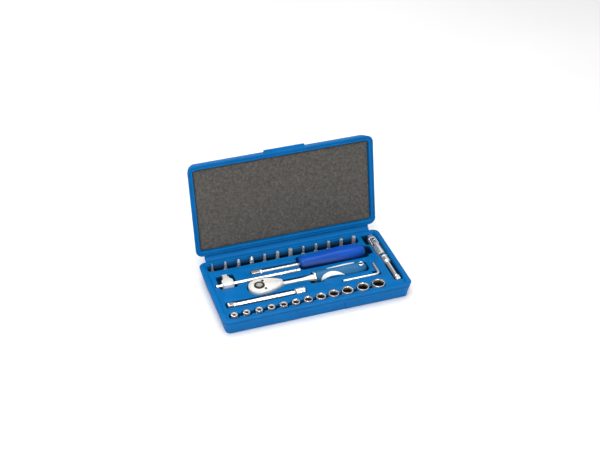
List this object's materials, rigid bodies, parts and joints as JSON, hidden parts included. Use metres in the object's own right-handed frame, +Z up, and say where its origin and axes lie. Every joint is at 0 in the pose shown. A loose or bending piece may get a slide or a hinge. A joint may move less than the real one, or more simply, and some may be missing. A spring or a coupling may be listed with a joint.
{
  "type": "socket wrench set in case",
  "caption": "Hinged plastic case with a foam-lined lid and a moulded tray of sockets, bit sockets, a ratchet, a spinner handle, a sliding T-bar, extensions and a universal joint.",
  "frame": {"origin": "middle of the base's underside", "axes": "+X along the case to the right, +Y towards the hinge, +Z up"},
  "size_m": [0.2496, 0.1729, 0.1586],
  "materials": {
    "case_plastic": "moulded, satin",
    "foam": "open-cell foam",
    "chrome": "polished",
    "satin_chrome": "satin",
    "tool_steel": "fine brushed",
    "dark_steel": "blackened",
    "handle_plastic": "translucent gloss",
    "grip_rubber": "soft moulded"
  },
  "bodies": {
    "case_base": {"base_shell": "case_plastic", "tool_tray": "case_plastic", "hinge_strip": "case_plastic"},
    "lid": {"lid_shell": "case_plastic", "lid_foam": "foam"},
    "socket_4mm": {"socket_4mm": "chrome"},
    "socket_4_5mm": {"socket_4_5mm": "chrome"},
    "socket_5mm": {"socket_5mm": "chrome"},
    "socket_5_5mm": {"socket_5_5mm": "chrome"},
    "socket_6mm": {"socket_6mm": "chrome"},
    "socket_7mm": {"socket_7mm": "chrome"},
    "socket_8mm": {"socket_8mm": "chrome"},
    "socket_9mm": {"socket_9mm": "chrome"},
    "socket_10mm": {"socket_10mm": "chrome"},
    "socket_11mm": {"socket_11mm": "chrome"},
    "socket_12mm": {"socket_12mm": "chrome"},
    "socket_13mm": {"socket_13mm": "chrome"},
    "bit_01": {"bit_body_01": "chrome", "bit_tip_01_slotted": "tool_steel"},
    "bit_02": {"bit_body_02": "chrome", "bit_tip_02_cross": "tool_steel"},
    "bit_03": {"bit_body_03": "chrome", "bit_tip_03_cross": "tool_steel"},
    "bit_04": {"bit_body_04": "chrome", "bit_tip_04_cross": "tool_steel"},
    "bit_05": {"bit_body_05": "chrome", "bit_tip_05_hex": "tool_steel"},
    "bit_06": {"bit_body_06": "chrome", "bit_tip_06_hex": "tool_steel"},
    "bit_07": {"bit_body_07": "chrome", "bit_tip_07_hex": "tool_steel"},
    "bit_08": {"bit_body_08": "chrome", "bit_tip_08_star": "tool_steel"},
    "bit_09": {"bit_body_09": "chrome", "bit_tip_09_star": "tool_steel"},
    "bit_10": {"bit_body_10": "chrome", "bit_tip_10_star": "tool_steel"},
    "bit_11": {"bit_body_11": "chrome", "bit_tip_11_star": "tool_steel"},
    "bit_12": {"bit_body_12": "chrome", "bit_tip_12_star": "tool_steel"},
    "tbar": {"tbar_rod": "chrome"},
    "tbar_head": {"tbar_head": "chrome"},
    "spinner": {"spinner_shaft": "chrome", "spinner_handle": "handle_plastic"},
    "ratchet": {"ratchet_body": "satin_chrome", "ratchet_cover": "satin_chrome", "ratchet_screw_front": "dark_steel", "ratchet_screw_back": "dark_steel", "ratchet_collar": "chrome", "ratchet_grip": "grip_rubber"},
    "ratchet_dial": {"ratchet_dial": "dark_steel"},
    "ratchet_drive": {"ratchet_drive_gear": "tool_steel"},
    "ratchet_pawl": {"ratchet_pawl": "tool_steel"},
    "extension_long": {"extension_long": "chrome"},
    "extension_short": {"extension_short": "chrome"},
    "hex_key": {"hex_key": "tool_steel"},
    "ujoint_female": {"ujoint_female": "chrome"},
    "ujoint_cross": {"ujoint_cross": "dark_steel"},
    "ujoint_male": {"ujoint_male": "chrome"}
  },
  "joints": [
    {"name": "lid_hinge", "type": "hinge", "parent": "case_base", "child": "lid", "pos_m": [0, 0.0691, 0.0225], "axis": [-1, 0, 0], "range_deg": [-99, 0], "deforming": ["hinge_strip", "lid_foam"]},
    {"name": "socket_4mm_lift", "type": "slide", "parent": "case_base", "child": "socket_4mm", "axis": [0, 0, 1], "range_m": [0, 0.045]},
    {"name": "socket_4_5mm_lift", "type": "slide", "parent": "case_base", "child": "socket_4_5mm", "axis": [0, 0, 1], "range_m": [0, 0.045]},
    {"name": "socket_5mm_lift", "type": "slide", "parent": "case_base", "child": "socket_5mm", "axis": [0, 0, 1], "range_m": [0, 0.045]},
    {"name": "socket_5_5mm_lift", "type": "slide", "parent": "case_base", "child": "socket_5_5mm", "axis": [0, 0, 1], "range_m": [0, 0.045]},
    {"name": "socket_6mm_lift", "type": "slide", "parent": "case_base", "child": "socket_6mm", "axis": [0, 0, 1], "range_m": [0, 0.045]},
    {"name": "socket_7mm_lift", "type": "slide", "parent": "case_base", "child": "socket_7mm", "axis": [0, 0, 1], "range_m": [0, 0.045]},
    {"name": "socket_8mm_lift", "type": "slide", "parent": "case_base", "child": "socket_8mm", "axis": [0, 0, 1], "range_m": [0, 0.045]},
    {"name": "socket_9mm_lift", "type": "slide", "parent": "case_base", "child": "socket_9mm", "axis": [0, 0, 1], "range_m": [0, 0.045]},
    {"name": "socket_10mm_lift", "type": "slide", "parent": "case_base", "child": "socket_10mm", "axis": [0, 0, 1], "range_m": [0, 0.045]},
    {"name": "socket_11mm_lift", "type": "slide", "parent": "case_base", "child": "socket_11mm", "axis": [0, 0, 1], "range_m": [0, 0.045]},
    {"name": "socket_12mm_lift", "type": "slide", "parent": "case_base", "child": "socket_12mm", "axis": [0, 0, 1], "range_m": [0, 0.045]},
    {"name": "socket_13mm_lift", "type": "slide", "parent": "case_base", "child": "socket_13mm", "axis": [0, 0, 1], "range_m": [0, 0.045]},
    {"name": "bit_01_lift", "type": "slide", "parent": "case_base", "child": "bit_01", "axis": [0, 0, 1], "range_m": [0, 0.045]},
    {"name": "bit_02_lift", "type": "slide", "parent": "case_base", "child": "bit_02", "axis": [0, 0, 1], "range_m": [0, 0.045]},
    {"name": "bit_03_lift", "type": "slide", "parent": "case_base", "child": "bit_03", "axis": [0, 0, 1], "range_m": [0, 0.045]},
    {"name": "bit_04_lift", "type": "slide", "parent": "case_base", "child": "bit_04", "axis": [0, 0, 1], "range_m": [0, 0.045]},
    {"name": "bit_05_lift", "type": "slide", "parent": "case_base", "child": "bit_05", "axis": [0, 0, 1], "range_m": [0, 0.045]},
    {"name": "bit_06_lift", "type": "slide", "parent": "case_base", "child": "bit_06", "axis": [0, 0, 1], "range_m": [0, 0.045]},
    {"name": "bit_07_lift", "type": "slide", "parent": "case_base", "child": "bit_07", "axis": [0, 0, 1], "range_m": [0, 0.045]},
    {"name": "bit_08_lift", "type": "slide", "parent": "case_base", "child": "bit_08", "axis": [0, 0, 1], "range_m": [0, 0.045]},
    {"name": "bit_09_lift", "type": "slide", "parent": "case_base", "child": "bit_09", "axis": [0, 0, 1], "range_m": [0, 0.045]},
    {"name": "bit_10_lift", "type": "slide", "parent": "case_base", "child": "bit_10", "axis": [0, 0, 1], "range_m": [0, 0.045]},
    {"name": "bit_11_lift", "type": "slide", "parent": "case_base", "child": "bit_11", "axis": [0, 0, 1], "range_m": [0, 0.045]},
    {"name": "bit_12_lift", "type": "slide", "parent": "case_base", "child": "bit_12", "axis": [0, 0, 1], "range_m": [0, 0.045]},
    {"name": "tbar_lift", "type": "slide", "parent": "case_base", "child": "tbar", "axis": [0, 0, 1], "range_m": [0, 0.045]},
    {"name": "tbar_head_slide", "type": "slide", "parent": "tbar", "child": "tbar_head", "axis": [1, 0, 0], "range_m": [-0.004, 0.004]},
    {"name": "spinner_lift", "type": "slide", "parent": "case_base", "child": "spinner", "axis": [0, 0, 1], "range_m": [0, 0.045]},
    {"name": "ratchet_lift", "type": "slide", "parent": "case_base", "child": "ratchet", "axis": [0, 0, 1], "range_m": [0, 0.045]},
    {"name": "ratchet_drive_spin", "type": "hinge", "parent": "ratchet", "child": "ratchet_drive", "pos_m": [-0.062, -0.006, 0.0175], "axis": [0, 0, 1], "continuous": true},
    {"name": "ratchet_dial_turn", "type": "hinge", "parent": "ratchet", "child": "ratchet_dial", "pos_m": [-0.062, -0.006, 0.0175], "axis": [0, 0, 1], "range_deg": [0, 60]},
    {"name": "ratchet_pawl_rock", "type": "hinge", "parent": "ratchet", "child": "ratchet_pawl", "pos_m": [-0.0508, -0.006, 0.0175], "axis": [0, 0, 1], "range_deg": [0, 6.5]},
    {"name": "extension_long_lift", "type": "slide", "parent": "case_base", "child": "extension_long", "axis": [0, 0, 1], "range_m": [0, 0.045]},
    {"name": "extension_short_lift", "type": "slide", "parent": "case_base", "child": "extension_short", "axis": [0, 0, 1], "range_m": [0, 0.045]},
    {"name": "hex_key_lift", "type": "slide", "parent": "case_base", "child": "hex_key", "axis": [0, 0, 1], "range_m": [0, 0.045]},
    {"name": "ujoint_female_lift", "type": "slide", "parent": "case_base", "child": "ujoint_female", "axis": [0, 0, 1], "range_m": [0, 0.045]},
    {"name": "ujoint_yaw", "type": "hinge", "parent": "ujoint_female", "child": "ujoint_cross", "pos_m": [0.1112, 0.038, 0.017], "axis": [0, 0, 1], "range_deg": [0, 8]},
    {"name": "ujoint_pitch", "type": "hinge", "parent": "ujoint_cross", "child": "ujoint_male", "pos_m": [0.1112, 0.038, 0.017], "axis": [1, 0, 0], "range_deg": [0, 70]}
  ],
  "couplings": [
    {"joint": "ratchet_pawl_rock", "follows": "ratchet_dial_turn", "ratio": 0.1}
  ]
}
